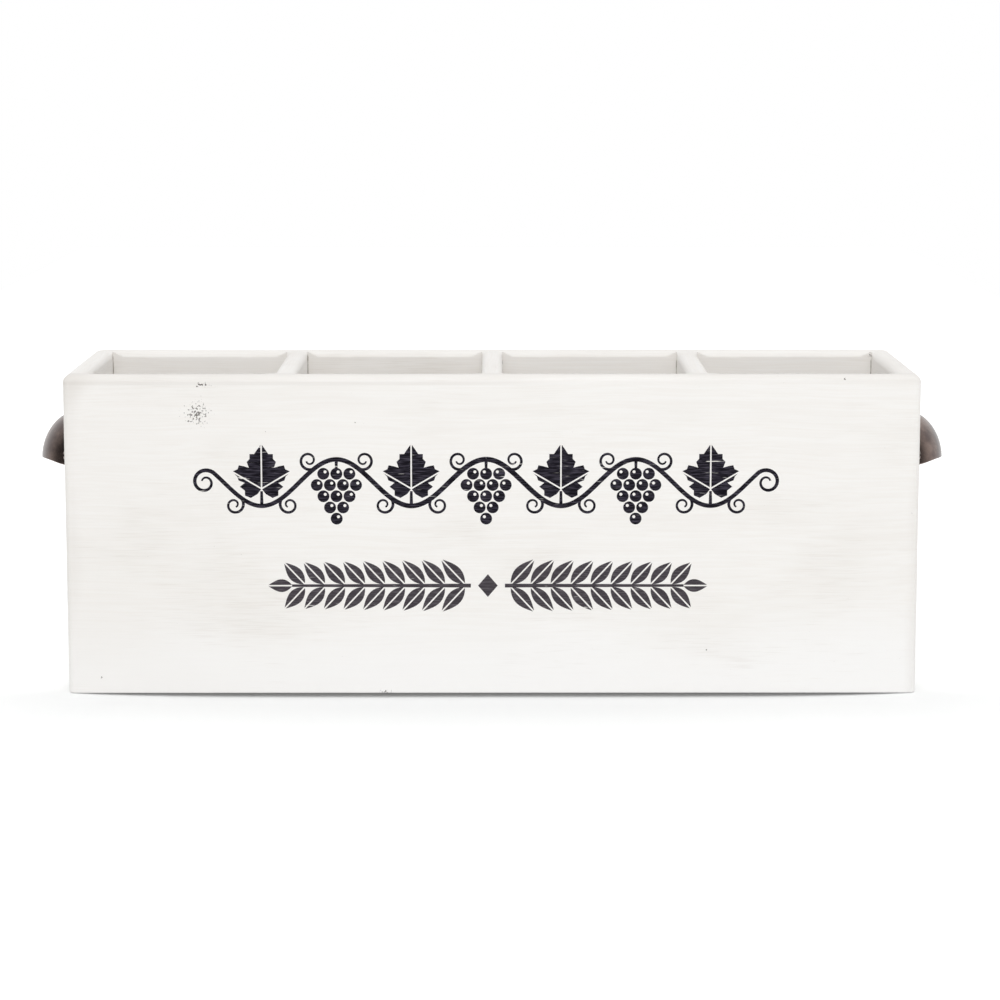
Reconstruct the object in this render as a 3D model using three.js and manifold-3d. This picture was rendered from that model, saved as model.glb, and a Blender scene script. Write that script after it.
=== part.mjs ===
// A painted wooden box for wine bottles: four open compartments, a cup handle on each end.
// Millimetres, +Z up. The origin is on the ground under the middle of the box, the front faces -Y.
import * as THREE from 'three';
import { mergeVertices, toCreasedNormals } from 'three/addons/utils/BufferGeometryUtils.js';
import Module from 'manifold-3d';

const wasm = await Module();
wasm.setup();

// The box without its handles.
const LENGTH = 400;
const DEPTH = 120;
const HEIGHT = 151;
const COMPARTMENTS = 4;

// Board thicknesses, and the height of the base above the lower edges of the walls.
const WALL = 10;
const DIVIDER = 10;
const BASE = 10;
const BASE_LIFT = 2.5;

// Edges: the rim is rounded over on both sides after assembly. A guide roller runs along the
// walls, so the rounding inside a compartment fades out before it reaches the corners.
const RIM_ROUND = 3;
const GUIDE_ROLLER = 6;
const UPRIGHT_ROUND = 2.5;
const FOOT_ROUND = 1;

// Steel brads, set a little below the face they are driven through.
const BRAD_LENGTH = 25;
const BRAD_SHANK = 1.3;
const BRAD_HEAD = 2.2;
const BRAD_HEAD_HEIGHT = 0.6;
const BRAD_POINT = 2;
const BRAD_SET = 0.5;
const BRAD_FIT = 0.3;
const BRADS_PER_CORNER = 3;
const BRADS_PER_DIVIDER_EDGE = 2;
const BRADS_PER_BASE_SIDE = 5;
const BRADS_PER_BASE_END = 2;
const BRAD_END_MARGIN = 6.7;

// Cup handles: a shell with a flange against the board and an ear at each side. The cup opens
// downwards. Its lower edge rises a little from the board to the tip of the lip, and bows up on
// both sides of that tip. The drop is from the rim of the box to the lower edge at the board.
const CUP_REACH = 18.5;
const CUP_HALF_WIDTH = 31;
const CUP_RISE = 22.8;
const CUP_WALL = 1.8;
const CUP_LIP_RISE = 1;
const CUP_LIP_BOW = 1.3;
const CUP_DROP = 46.4;
const FLANGE = 1.6;
const FLANGE_BORDER = 2.6;
const EAR_RADIUS = 5.6;
const EAR_GAP = 1.9;

// Slotted round-head wood screws through the ears.
const SCREW_LENGTH = 9.4;
const SCREW_SHANK = 3;
const SCREW_ROOT = 2.1;
const SCREW_PITCH = 1.3;
const SCREW_POINT = 3;
const SCREW_HEAD = 6;
const SCREW_HEAD_HEIGHT = 2.2;
const SCREW_SLOT = 1;
const SCREW_FIT = 0.3;
const THREAD_SINK = 0.2;
const THREAD_HALF = 0.4;

// Fineness of the curves.
const ROUND_STEPS = 5;
const CORNER_STEPS = 5;
const CUP_STEPS = 32;
const LIP_STEPS = 32;
const LIP_SIDES = 5;
const ARCH_STEPS = 20;
const EAR_STEPS = 12;
const SCREW_STEPS = 12;
const BRAD_STEPS = 8;
const CREASE = Math.PI / 6;

// Room that a cutting shape takes beyond the face it starts from.
const OVERCUT = 4;

// The least radius that a corner keeps, and the distance at which corners are the same.
const LEAST_ROUND = 0.25;
const WELD = 1e-4;

const QUARTER = Math.PI / 2;
const insideX = LENGTH / 2 - WALL;
const insideY = DEPTH / 2 - WALL;
const floorZ = BASE_LIFT + BASE;
const compartment = (2 * insideX - (COMPARTMENTS - 1) * DIVIDER) / COMPARTMENTS;

const PAINT = { color: 0xf3f0ec, roughness: 0.62, metalness: 0 };
const BRONZE = { color: 0x5d524c, roughness: 0.42, metalness: 0.85 };
const STEEL = { color: 0xa7a8aa, roughness: 0.35, metalness: 1 };

// Turns a closed geometry into a solid: seams are welded and empty triangles dropped.
function solid(geometry) {
  const bare = geometry.clone();
  bare.deleteAttribute('normal');
  bare.deleteAttribute('uv');
  const welded = mergeVertices(bare, WELD);
  const corners = welded.index.array;
  const kept = [];
  for (let i = 0; i < corners.length; i += 3) {
    const [a, b, c] = corners.slice(i, i + 3);
    if (a !== b && b !== c && c !== a) {
      kept.push(a, b, c);
    }
  }
  const mesh = new wasm.Mesh({
    numProp: 3,
    vertProperties: new Float32Array(welded.attributes.position.array),
    triVerts: new Uint32Array(kept),
  });
  return new wasm.Manifold(mesh);
}

// A block between two opposite corners. The faces lie exactly on the given values.
function block(low, high) {
  const geometry = new THREE.BoxGeometry(1, 1, 1);
  const position = geometry.attributes.position;
  for (let i = 0; i < position.count; i += 1) {
    const x = position.getX(i) < 0 ? low[0] : high[0];
    const y = position.getY(i) < 0 ? low[1] : high[1];
    const z = position.getZ(i) < 0 ? low[2] : high[2];
    position.setXYZ(i, x, y, z);
  }
  return solid(geometry);
}

// A level rectangle with rounded corners, as a ring of points running anticlockwise.
function roundedRing(middleX, halfX, halfY, radius, z) {
  const points = [];
  for (let corner = 0; corner < 4; corner += 1) {
    for (let step = 0; step <= CORNER_STEPS; step += 1) {
      const angle = (corner + step / CORNER_STEPS) * QUARTER;
      const signX = corner === 0 || corner === 3 ? 1 : -1;
      const signY = corner < 2 ? 1 : -1;
      const x = signX * (halfX - radius * (1 - Math.abs(Math.cos(angle))));
      const y = signY * (halfY - radius * (1 - Math.abs(Math.sin(angle))));
      points.push(new THREE.Vector3(middleX + x, y, z));
    }
  }
  return points;
}

// A closed skin over rings of equal point count, listed from the bottom up.
function loft(rings) {
  const count = rings[0].length;
  const top = (rings.length - 1) * count;
  const index = [];
  for (let start = 0; start < top; start += count) {
    for (let k = 0; k < count; k += 1) {
      const next = (k + 1) % count;
      index.push(start + k, start + next, start + count + next);
      index.push(start + k, start + count + next, start + count + k);
    }
  }
  for (let k = 1; k < count - 1; k += 1) {
    index.push(0, k + 1, k);
    index.push(top, top + k, top + k + 1);
  }
  const geometry = new THREE.BufferGeometry().setFromPoints(rings.flat());
  geometry.setIndex(index);
  return solid(geometry);
}

// The outside of the whole box: eased foot, rounded uprights and rounded top edge.
function outerShape() {
  const rings = [];
  const addRing = (inset, z) => {
    const radius = Math.max(UPRIGHT_ROUND - inset, LEAST_ROUND);
    rings.push(roundedRing(0, LENGTH / 2 - inset, DEPTH / 2 - inset, radius, z));
  };
  for (let step = 0; step <= ROUND_STEPS; step += 1) {
    const angle = (step / ROUND_STEPS) * QUARTER;
    addRing(FOOT_ROUND * (1 - Math.sin(angle)), FOOT_ROUND * (1 - Math.cos(angle)));
  }
  for (let step = 0; step <= ROUND_STEPS; step += 1) {
    const angle = (step / ROUND_STEPS) * QUARTER;
    addRing(RIM_ROUND * (1 - Math.cos(angle)), HEIGHT - RIM_ROUND * (1 - Math.sin(angle)));
  }
  return loft(rings);
}

// What the rounding cutter takes away around the mouth of one compartment.
function mouthCut(middleX) {
  const rings = [];
  const addRing = (offset, z) => {
    const radius = GUIDE_ROLLER + offset;
    rings.push(roundedRing(middleX, compartment / 2 + offset, insideY + offset, radius, z));
  };
  for (let step = 0; step <= ROUND_STEPS; step += 1) {
    const angle = (step / ROUND_STEPS) * QUARTER;
    addRing(RIM_ROUND * (1 - Math.cos(angle)), HEIGHT - RIM_ROUND * (1 - Math.sin(angle)));
  }
  addRing(RIM_ROUND, HEIGHT + OVERCUT);
  return loft(rings);
}

// Moves a shape that was turned about Y so that its +Y end points outwards at a given place.
function aim(geometry, place, outwards) {
  const turn = new THREE.Quaternion().setFromUnitVectors(new THREE.Vector3(0, 1, 0), outwards);
  return geometry.applyQuaternion(turn).translate(place.x, place.y, place.z);
}

// A profile of [radius, height] pairs, from the axis at the bottom to the axis at the top.
function turned(profile, steps) {
  const points = profile.map(([radius, height]) => new THREE.Vector2(radius, height));
  return new THREE.LatheGeometry(points, steps);
}

// A brad, with the top of its head at height zero.
function bradShape() {
  return turned([
    [0, -BRAD_LENGTH],
    [BRAD_SHANK / 2, -BRAD_LENGTH + BRAD_POINT],
    [BRAD_SHANK / 2, -BRAD_HEAD_HEIGHT],
    [BRAD_HEAD / 2, -BRAD_HEAD_HEIGHT],
    [BRAD_HEAD / 2, 0],
    [0, 0],
  ], BRAD_STEPS);
}

// The hole that a brad leaves in the wood, open at the face.
function bradHole() {
  const shank = BRAD_SHANK / 2 + BRAD_FIT;
  const head = BRAD_HEAD / 2 + BRAD_FIT;
  return turned([
    [0, -BRAD_LENGTH - BRAD_FIT],
    [shank, -BRAD_LENGTH - BRAD_FIT + BRAD_POINT],
    [shank, -BRAD_HEAD_HEIGHT - BRAD_FIT],
    [head, -BRAD_HEAD_HEIGHT - BRAD_FIT],
    [head, BRAD_SET + OVERCUT],
    [0, BRAD_SET + OVERCUT],
  ], BRAD_STEPS);
}

// Evenly spread values from -reach to +reach, or the middle alone.
function spread(count, reach) {
  const gaps = Math.max(count - 1, 1);
  return Array.from({ length: count }, (_, i) => reach * ((2 * i - count + 1) / gaps));
}

// Every brad of the box: its name, the middle of the hole's mouth and the way its head looks.
function bradPlaces() {
  const places = [];
  const wallMiddle = LENGTH / 2 - WALL / 2;
  const baseMiddle = BASE_LIFT + BASE / 2;
  const heightMiddle = (floorZ + HEIGHT) / 2;
  const heightReach = (HEIGHT - floorZ) / 2 - WALL - BRAD_END_MARGIN;
  for (const [side, sign] of [['front', -1], ['back', 1]]) {
    const outwards = new THREE.Vector3(0, sign, 0);
    const add = (name, x, z) => {
      const place = new THREE.Vector3(x, sign * (DEPTH / 2), z);
      places.push({ name: `brad_${side}_${name}`, place, outwards });
    };
    for (const [end, endSign] of [['left', -1], ['right', 1]]) {
      spread(BRADS_PER_CORNER, heightReach).forEach((rise, i) => {
        add(`${end}_end_${i + 1}`, endSign * wallMiddle, heightMiddle + rise);
      });
    }
    dividers.forEach(({ name, middle }) => {
      spread(BRADS_PER_DIVIDER_EDGE, heightReach / 2).forEach((rise, i) => {
        add(`${name}_${i + 1}`, middle, heightMiddle + rise);
      });
    });
    spread(BRADS_PER_BASE_SIDE, insideX - BRAD_END_MARGIN).forEach((x, i) => {
      add(`base_${i + 1}`, x, baseMiddle);
    });
  }
  for (const [end, endSign] of [['left', -1], ['right', 1]]) {
    const outwards = new THREE.Vector3(endSign, 0, 0);
    spread(BRADS_PER_BASE_END, insideY / 4).forEach((y, i) => {
      const place = new THREE.Vector3(endSign * (LENGTH / 2), y, baseMiddle);
      places.push({ name: `brad_${end}_end_base_${i + 1}`, place, outwards });
    });
  }
  return places;
}

// An ellipsoid around the middle of the flange's lower edge, with its poles at the two sides.
function ellipsoid(reach, halfWidth, rise) {
  const geometry = new THREE.SphereGeometry(1, CUP_STEPS, CUP_STEPS / 2);
  return solid(geometry.scale(reach, halfWidth, rise));
}

// The lower edge of the cup along half an ellipse, in the middle of the shell's wall.
class LipPath extends THREE.Curve {
  getPoint(t, target = new THREE.Vector3()) {
    const angle = (2 * t - 1) * QUARTER;
    const out = (CUP_REACH - CUP_WALL / 2) * Math.cos(angle);
    const side = (CUP_HALF_WIDTH - CUP_WALL / 2) * Math.sin(angle);
    const bow = CUP_LIP_BOW * Math.sin(2 * angle) ** 2;
    return target.set(out, side, CUP_LIP_RISE * Math.cos(angle) + bow);
  }
}
const lipPath = new LipPath();

// Where the screws pass the flange: to the side of its middle, and above its lower edge.
const screwSide = CUP_HALF_WIDTH + FLANGE_BORDER + EAR_GAP;
const screwRise = EAR_RADIUS;

// The flange against the board: an arch around the cup, with a round ear at each side.
function flange() {
  const arch = new THREE.Shape();
  const halfWidth = CUP_HALF_WIDTH + FLANGE_BORDER;
  arch.absellipse(0, 0, halfWidth, CUP_RISE + FLANGE_BORDER, 0, Math.PI, false, 0);
  arch.closePath();
  const plate = { depth: FLANGE, bevelEnabled: false, curveSegments: ARCH_STEPS };
  const upright = new THREE.Matrix4().makeBasis(
    new THREE.Vector3(0, 1, 0),
    new THREE.Vector3(0, 0, 1),
    new THREE.Vector3(1, 0, 0),
  );
  let body = solid(new THREE.ExtrudeGeometry(arch, plate).applyMatrix4(upright));
  for (const sign of [-1, 1]) {
    const ear = new THREE.Shape();
    ear.absarc(sign * screwSide, screwRise, EAR_RADIUS, 0, 2 * Math.PI, false);
    const earPlate = { ...plate, curveSegments: EAR_STEPS };
    body = body.add(solid(new THREE.ExtrudeGeometry(ear, earPlate).applyMatrix4(upright)));
  }
  return body;
}

// The space in front of the board and above rays that run from the cup's middle over its lip.
function aboveLip(high) {
  const low = [new THREE.Vector3(0, 0, 0)];
  for (let step = 0; step <= LIP_STEPS; step += 1) {
    low.push(lipPath.getPoint(step / LIP_STEPS).multiplyScalar(2));
  }
  return loft([low, low.map(({ x, y }) => new THREE.Vector3(x, y, high))]);
}

// One cup handle on a board whose face is the plane x = 0, reaching out to +X. Its lower edge
// at the board is at height zero.
function cupShape() {
  const wide = 2 * CUP_HALF_WIDTH;
  const far = 2 * CUP_REACH;
  const high = 2 * CUP_RISE;
  const dome = ellipsoid(CUP_REACH, CUP_HALF_WIDTH, CUP_RISE);
  const shell = dome.intersect(aboveLip(high));
  const hollow = ellipsoid(
    CUP_REACH - CUP_WALL,
    CUP_HALF_WIDTH - CUP_WALL,
    CUP_RISE - CUP_WALL,
  );
  const round = new THREE.Shape();
  round.absarc(0, 0, CUP_WALL / 2, 0, 2 * Math.PI, false);
  const lip = new THREE.ExtrudeGeometry(round, {
    extrudePath: lipPath,
    steps: LIP_STEPS,
    curveSegments: LIP_SIDES,
  });
  const behind = block([-far, -wide, -high], [0, wide, high]);
  let body = shell.add(flange()).subtract(hollow);
  body = body.add(solid(lip).subtract(behind));
  for (const sign of [-1, 1]) {
    body = body.subtract(screwHole(new THREE.Vector3(FLANGE, sign * screwSide, screwRise)));
  }
  return body;
}

// The way of a screw through its ear and into the board, with its mouth at a given place.
function screwHole(place) {
  const radius = SCREW_SHANK / 2 + SCREW_FIT;
  const shape = turned([
    [0, -SCREW_LENGTH - SCREW_FIT],
    [radius, -SCREW_LENGTH - SCREW_FIT],
    [radius, OVERCUT],
    [0, OVERCUT],
  ], SCREW_STEPS);
  return solid(aim(shape, place, new THREE.Vector3(1, 0, 0)));
}

// A thread ridge: a three-sided bar wound around the root of the screw.
function thread() {
  const root = SCREW_ROOT / 2 - THREAD_SINK;
  const crest = SCREW_SHANK / 2;
  const half = THREAD_HALF;
  const start = -SCREW_LENGTH + SCREW_POINT;
  const turns = (SCREW_LENGTH - SCREW_POINT - FLANGE - SCREW_PITCH) / SCREW_PITCH;
  const stations = Math.ceil(turns * SCREW_STEPS / 2);
  const points = [];
  const index = [];
  for (let i = 0; i <= stations; i += 1) {
    const angle = (i / stations) * turns * 2 * Math.PI;
    const y = start + (i / stations) * turns * SCREW_PITCH;
    const corners = [[root, y - half], [crest, y], [root, y + half]];
    for (const [radius, height] of corners) {
      points.push(new THREE.Vector3(radius * Math.sin(angle), height, radius * Math.cos(angle)));
    }
  }
  for (let i = 0; i < stations; i += 1) {
    for (let k = 0; k < 3; k += 1) {
      const a = 3 * i + k;
      const b = 3 * i + ((k + 1) % 3);
      index.push(a, a + 3, b + 3, a, b + 3, b);
    }
  }
  const last = 3 * stations;
  index.push(0, 1, 2, last, last + 2, last + 1);
  const geometry = new THREE.BufferGeometry().setFromPoints(points);
  geometry.setIndex(index);
  return solid(geometry);
}

// A slotted round-head wood screw. The underside of its head is at height zero.
function screwShape() {
  const dome = [];
  for (let step = 0; step <= ROUND_STEPS; step += 1) {
    const angle = (step / ROUND_STEPS) * QUARTER;
    dome.push([(SCREW_HEAD / 2) * Math.cos(angle), SCREW_HEAD_HEIGHT * Math.sin(angle)]);
  }
  dome[ROUND_STEPS][0] = 0;
  const body = solid(turned([
    [0, -SCREW_LENGTH],
    [SCREW_ROOT / 2, -SCREW_LENGTH + SCREW_POINT],
    [SCREW_ROOT / 2, 0],
    ...dome,
  ], SCREW_STEPS));
  const slot = block(
    [-SCREW_HEAD, SCREW_HEAD_HEIGHT - SCREW_SLOT, -SCREW_SLOT / 2],
    [SCREW_HEAD, SCREW_HEAD_HEIGHT + OVERCUT, SCREW_SLOT / 2],
  );
  return body.add(thread()).subtract(slot);
}

// Turns a solid back into a geometry.
function geometryOf(body) {
  const mesh = body.getMesh();
  const geometry = new THREE.BufferGeometry();
  const positions = new THREE.BufferAttribute(new Float32Array(mesh.vertProperties), 3);
  geometry.setAttribute('position', positions);
  geometry.setIndex(new THREE.BufferAttribute(new Uint32Array(mesh.triVerts), 1));
  return geometry;
}

const box = new THREE.Group();
box.name = 'wine_bottle_box';

function addPiece(name, geometry, finish) {
  const shaded = toCreasedNormals(geometry, CREASE);
  const piece = new THREE.Mesh(shaded, new THREE.MeshStandardMaterial(finish));
  piece.name = name;
  box.add(piece);
}

// Dividers stand between the front and the back board, evenly spaced.
const dividerNames = COMPARTMENTS === 4
  ? ['divider_left', 'divider_middle', 'divider_right']
  : Array.from({ length: COMPARTMENTS - 1 }, (_, i) => `divider_${i + 1}`);
const dividers = dividerNames.map((name, i) => {
  const middle = -insideX + (i + 1) * compartment + (i + 0.5) * DIVIDER;
  return { name, middle };
});

const mouths = Array.from({ length: COMPARTMENTS }, (_, i) => {
  const middle = -insideX + (i + 0.5) * compartment + i * DIVIDER;
  return mouthCut(middle);
});
const outside = outerShape();
const brads = bradPlaces().map((brad) => {
  const head = brad.place.clone().addScaledVector(brad.outwards, -BRAD_SET);
  return { ...brad, head, hole: solid(aim(bradHole(), head, brad.outwards)) };
});

const handles = [['left', -1], ['right', 1]].map(([end, sign]) => {
  const turn = new THREE.Matrix4().makeBasis(
    new THREE.Vector3(sign, 0, 0),
    new THREE.Vector3(0, sign, 0),
    new THREE.Vector3(0, 0, 1),
  ).setPosition(sign * (LENGTH / 2), 0, HEIGHT - CUP_DROP);
  const screws = [['front', -1], ['back', 1]].map(([side, sideSign]) => {
    const place = new THREE.Vector3(FLANGE, sign * sideSign * screwSide, screwRise);
    return { name: `handle_screw_${end}_${side}`, place };
  });
  return { end, turn, screws };
});
const screwHoles = handles.flatMap(({ turn, screws }) => screws.map(({ place }) => {
  const hole = geometryOf(screwHole(place));
  return solid(hole.applyMatrix4(turn));
}));

// The boards are cut from plain planks, then get the shared outside, the rounded mouths and
// the holes of the brads and screws that pass through them.
function addBoard(name, low, high) {
  let body = block(low, high).intersect(outside);
  const reach = new THREE.Box3(new THREE.Vector3(...low), new THREE.Vector3(...high));
  for (const cutter of [...mouths, ...brads.map(({ hole }) => hole), ...screwHoles]) {
    const bounds = cutter.boundingBox();
    const span = new THREE.Box3(new THREE.Vector3(...bounds.min), new THREE.Vector3(...bounds.max));
    if (reach.intersectsBox(span)) {
      body = body.subtract(cutter);
    }
  }
  addPiece(name, geometryOf(body), PAINT);
}

const halfX = LENGTH / 2;
const halfY = DEPTH / 2;
addBoard('front_board', [-halfX, -halfY, 0], [halfX, -insideY, HEIGHT]);
addBoard('back_board', [-halfX, insideY, 0], [halfX, halfY, HEIGHT]);
addBoard('left_end_board', [-halfX, -insideY, 0], [-insideX, insideY, HEIGHT]);
addBoard('right_end_board', [insideX, -insideY, 0], [halfX, insideY, HEIGHT]);
addBoard('base_board', [-insideX, -insideY, BASE_LIFT], [insideX, insideY, floorZ]);
dividers.forEach(({ name, middle }) => {
  const low = [middle - DIVIDER / 2, -insideY, floorZ];
  const high = [middle + DIVIDER / 2, insideY, HEIGHT];
  addBoard(name, low, high);
});

const cup = cupShape();
const screw = screwShape();
handles.forEach(({ end, turn, screws }) => {
  addPiece(`${end}_cup_handle`, geometryOf(cup).applyMatrix4(turn), BRONZE);
  screws.forEach(({ name, place }) => {
    const geometry = aim(geometryOf(screw), place, new THREE.Vector3(1, 0, 0));
    addPiece(name, geometry.applyMatrix4(turn), BRONZE);
  });
});

brads.forEach(({ name, head, outwards }) => {
  addPiece(name, geometryOf(solid(aim(bradShape(), head, outwards))), STEEL);
});

export default box;
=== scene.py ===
# %% [markdown]
# # A white painted box for four wine bottles
# The real box is nailed together from flat pine boards, rounded over at the rim, brushed white
# and printed on the front. A dark cup handle sits on each end. This lesson dresses the CAD parts:
# each board is carved again with a softer, hand-sanded rim, the paint is a node material with
# brush marks, and the handles are smooth shells of antique bronze.

# %% Load the frame
import math

import bmesh
import bpy
from mathutils import Matrix, Vector, noise


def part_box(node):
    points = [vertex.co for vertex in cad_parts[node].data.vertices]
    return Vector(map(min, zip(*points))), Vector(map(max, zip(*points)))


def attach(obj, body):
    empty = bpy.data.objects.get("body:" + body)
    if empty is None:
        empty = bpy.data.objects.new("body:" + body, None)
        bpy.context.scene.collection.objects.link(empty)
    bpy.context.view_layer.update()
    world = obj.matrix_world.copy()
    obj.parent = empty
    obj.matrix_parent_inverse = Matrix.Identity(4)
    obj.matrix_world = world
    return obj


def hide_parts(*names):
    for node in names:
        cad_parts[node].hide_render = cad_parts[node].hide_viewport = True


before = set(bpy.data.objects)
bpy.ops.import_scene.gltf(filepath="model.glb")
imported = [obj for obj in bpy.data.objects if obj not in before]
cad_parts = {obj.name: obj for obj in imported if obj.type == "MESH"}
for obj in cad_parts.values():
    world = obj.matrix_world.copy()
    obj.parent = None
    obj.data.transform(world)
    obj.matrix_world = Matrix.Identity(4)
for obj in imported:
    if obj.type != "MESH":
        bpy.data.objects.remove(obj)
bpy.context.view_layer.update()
MM = 0.001
print("CAD nodes:", len(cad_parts))

# %% [markdown]
# ## Sizes
# Every size that the CAD already has is read from its nodes, so the looks follow the part. Only
# the edge roundings are written again here, because a node's box does not show them.

# %% Sizes that the boards share
front_low, front_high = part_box("front_board")
base_low, base_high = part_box("base_board")
half_length = front_high.x
half_depth = -front_low.y
rim_z = front_high.z
inside_x = base_high.x
inside_y = base_high.y
divider_nodes = ["divider_left", "divider_middle", "divider_right"]
divider_boxes = [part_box(name) for name in divider_nodes]

RIM_ROUND = 3.0 * MM
MOUTH_ROUND = 4.9 * MM
MOUTH_DROP = 3.2 * MM
MOUTH_SIDE_ROUND = 3.6 * MM
END_ROUND = 3.4 * MM
GUIDE_ROLLER = 6.0 * MM
UPRIGHT_ROUND = 2.5 * MM
TOP_CORNER_ROUND = 3.5 * MM
FOOT_ROUND = 0.7 * MM
PRINT_FILM = 0.05 * MM
print("box in mm:", round(2 * half_length / MM), round(2 * half_depth / MM), round(rim_z / MM))

# %% [markdown]
# ## Two small tools
# Colours are written as sRGB hex values, as a colour picker shows them, and turned to the linear
# values that a shader counts with. One function adds a node with its options and its inputs. An
# input is a plain value or the output of another node, and then it is linked.

# %% Colour and node tools
def linear(hex_colour):
    """An sRGB colour such as "#f4f1ed" as linear red, green, blue and alpha."""
    channels = [int(hex_colour[i:i + 2], 16) / 255 for i in (1, 3, 5)]
    bright = [((c + 0.055) / 1.055) ** 2.4 if c > 0.04045 else c / 12.92 for c in channels]
    return (*bright, 1.0)


def add(tree, kind, inputs=None, out=None, **options):
    """Adds a node and gives back its output: the one that is named, or its first."""
    made = tree.nodes.new(kind)
    for name, value in options.items():
        setattr(made, name, value)
    for key, value in (inputs or {}).items():
        named = [socket for socket in made.inputs if socket.enabled and socket.name == key]
        socket = named[0] if named else made.inputs[key]
        if isinstance(value, bpy.types.NodeSocket):
            tree.links.new(value, socket)
        else:
            socket.default_value = value
    outputs = [socket for socket in made.outputs if socket.enabled and out in (None, socket.name)]
    return outputs[0] if outputs else None


def new_material(name):
    """An empty node material and its tree."""
    material = bpy.data.materials.new(name)
    material.use_nodes = True
    material.node_tree.nodes.clear()
    return material, material.node_tree


print("paper white is", linear("#ffffff")[:3])

# %% [markdown]
# ## Lofts
# Most pieces here are lofts: a row of closed outlines, joined by faces and closed at both ends.
# One tool makes them all, in a bmesh, which is Blender's mesh for editing by script.

# %% Loft tool
def loft(bm, outlines):
    """Joins closed outlines of equally many points into one closed skin."""
    rows = [[bm.verts.new(point) for point in outline] for outline in outlines]
    for low, high in zip(rows, rows[1:]):
        for k in range(len(low)):
            n = (k + 1) % len(low)
            bm.faces.new((low[k], low[n], high[n], high[k]))
    bm.faces.new(rows[0][::-1])
    bm.faces.new(rows[-1])


def new_object(name, bm):
    """A new object in the scene from a bmesh, with its faces turned outwards."""
    bmesh.ops.recalc_face_normals(bm, faces=bm.faces)
    mesh = bpy.data.meshes.new(name)
    bm.to_mesh(mesh)
    bm.free()
    made = bpy.data.objects.new(name, mesh)
    bpy.context.scene.collection.objects.link(made)
    return made


print("made: a tool for lofts and one for objects")

# %% [markdown]
# ## Rounded outlines
# The rim was rounded after the box was put together: a cutter with a guide roller ran round the
# outside and round the mouth of each compartment. A roller cannot reach into a sharp inner corner,
# so the rounding fades out there. A stack of rounded rectangles makes such a cutter. Its sides are
# cut into short steps, so that a little noise can make the edge wander like a sanded one.

# %% A stack of rounded rectangles
ARC_STEPS = 8


def rounded_rectangle(half_x, half_y, radius, side_steps):
    """Points of a rounded rectangle, anticlockwise, with each straight side in short steps."""
    arcs = []
    for corner, (sign_x, sign_y) in enumerate(((1, 1), (-1, 1), (-1, -1), (1, -1))):
        arc = []
        for step in range(ARC_STEPS + 1):
            angle = (corner + step / ARC_STEPS) * math.pi / 2
            x = sign_x * (half_x - radius * (1 - abs(math.cos(angle))))
            y = sign_y * (half_y - radius * (1 - abs(math.sin(angle))))
            arc.append(Vector((x, y)))
        arcs.append(arc)
    points = []
    for arc, following in zip(arcs, arcs[1:] + arcs[:1]):
        points += arc
        points += [arc[-1].lerp(following[0], i / side_steps) for i in range(1, side_steps)]
    return points


def sanded_stack(name, half, radius, levels, side_steps, middle_x=0.0, wander=0.1):
    """A solid over rounded rectangles; a level is its push along X and Y, its radius and height."""
    bump_length = 28 * MM
    base = rounded_rectangle(*half, radius, side_steps)
    outlines = []
    for push_x, push_y, pushed_radius, z in levels:
        pushed = rounded_rectangle(half[0] + push_x, half[1] + push_y, pushed_radius, side_steps)
        row = []
        for start, end in zip(base, pushed):
            along = Vector((start.x + middle_x, start.y, half[0])) / bump_length
            place = start.lerp(end, 1 + wander * noise.noise(along))
            row.append((place.x + middle_x, place.y, z))
        outlines.append(row)
    bm = bmesh.new()
    loft(bm, outlines)
    return new_object(name, bm)


foot_outline = rounded_rectangle(half_length, half_depth, UPRIGHT_ROUND, 1)
print("points round the foot without side steps:", len(foot_outline))

# %% [markdown]
# ## The cutters
# One solid is the outside of the whole box, with its eased foot and rounded rim. The other four
# are what the cutter took away round the mouths. Each board is later cut by the same solids, so
# the rounding runs on from board to board as on the real box.

# %% The outside and the four mouths
ROUND_STEPS = 12


def fall(radius, z):
    """How far a rounded edge of the rim has drawn in at a height."""
    climb = max(0.0, z - (rim_z - radius))
    return radius - math.sqrt(max(0.0, radius * radius - climb * climb))


foot_levels = []
rim_levels = []
mouth_reach = math.sqrt(MOUTH_ROUND ** 2 - (MOUTH_ROUND - MOUTH_DROP) ** 2)
mouth_levels = [(-0.1 * MM, -0.1 * MM, GUIDE_ROLLER, rim_z - 1.5 * MOUTH_DROP)]
for step in range(ROUND_STEPS + 1):
    turn = step / ROUND_STEPS * math.pi / 2
    inset = FOOT_ROUND * (1 - math.sin(turn))
    foot_levels.append((-inset, -inset, UPRIGHT_ROUND - inset, FOOT_ROUND * (1 - math.cos(turn))))
    z = rim_z - END_ROUND * (1 - math.sin(turn))
    corner = UPRIGHT_ROUND + (TOP_CORNER_ROUND - UPRIGHT_ROUND) * step / ROUND_STEPS
    rim_levels.append((-fall(END_ROUND, z), -fall(RIM_ROUND, z), corner, z))
    z = rim_z - MOUTH_DROP * (1 - math.sin(turn))
    side = fall(MOUTH_SIDE_ROUND, z)
    across = fall(MOUTH_ROUND, z) - (MOUTH_ROUND - mouth_reach)
    mouth_levels.append((side, across, GUIDE_ROLLER + side, z))
mouth_levels.append((*mouth_levels[-1][:3], rim_z + RIM_ROUND))

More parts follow.
